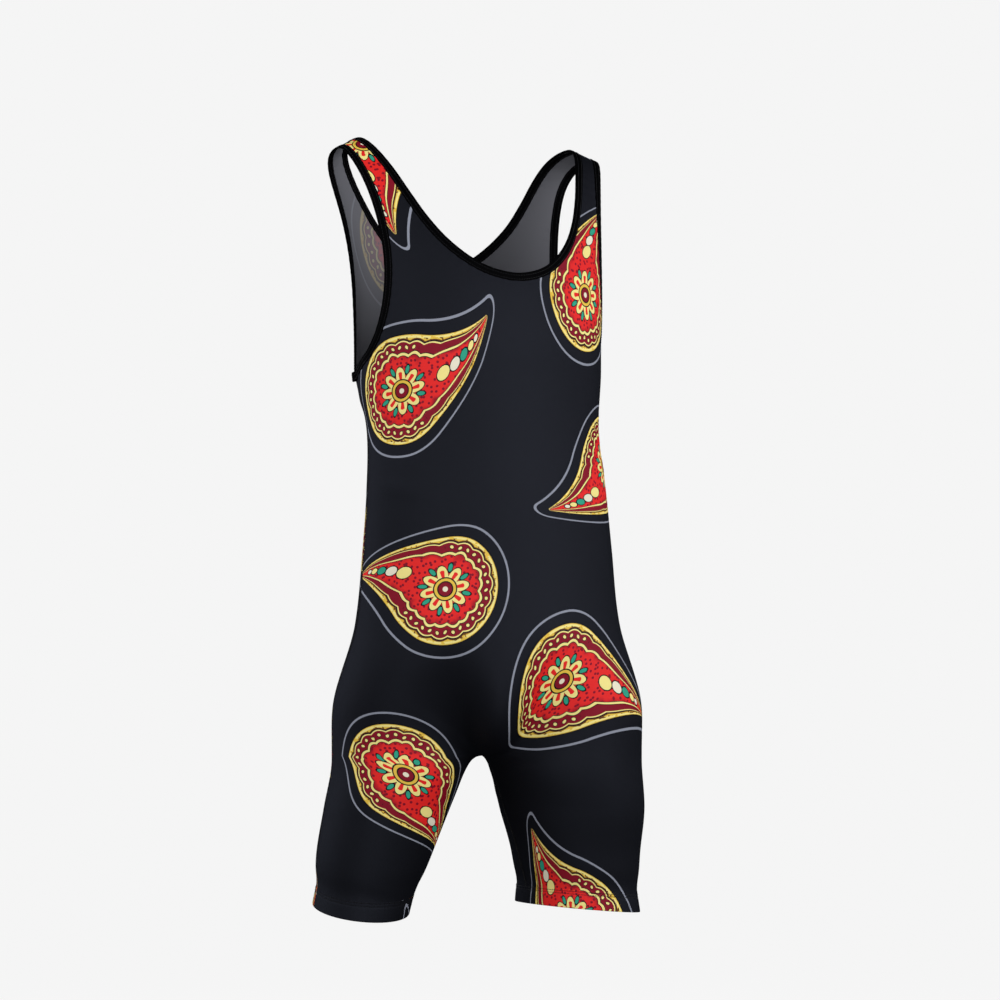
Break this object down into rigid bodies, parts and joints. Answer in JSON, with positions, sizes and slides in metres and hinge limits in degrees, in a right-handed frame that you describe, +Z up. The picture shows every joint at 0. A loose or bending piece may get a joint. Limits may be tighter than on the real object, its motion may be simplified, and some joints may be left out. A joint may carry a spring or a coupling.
{
  "type": "wrestling singlet",
  "caption": "Close-fitting one-piece wrestling singlet, worn and hollow: scooped neck, narrow shoulder straps, deep armholes and mid-thigh legs with bound edges and turned-up hems.",
  "frame": {"origin": "midway between the two shoulder straps, at the height of the top of the wearer's shoulders, where the wearer holds the garment up", "axes": "+Z up, +X to the wearer's left, -Y the way the wearer faces"},
  "size_m": [0.3491, 0.2683, 0.884],
  "materials": {
    "printed_cloth": "smooth stretch knit, black with a printed design",
    "binding_tape": "folded knit tape, black"
  },
  "bodies": {
    "root": {"front_panel": "printed_cloth", "back_panel": "printed_cloth", "neck_binding": "binding_tape", "armhole_binding_right": "binding_tape", "armhole_binding_left": "binding_tape", "leg_hem_right": "printed_cloth", "leg_hem_left": "printed_cloth"}
  },
  "joints": []
}
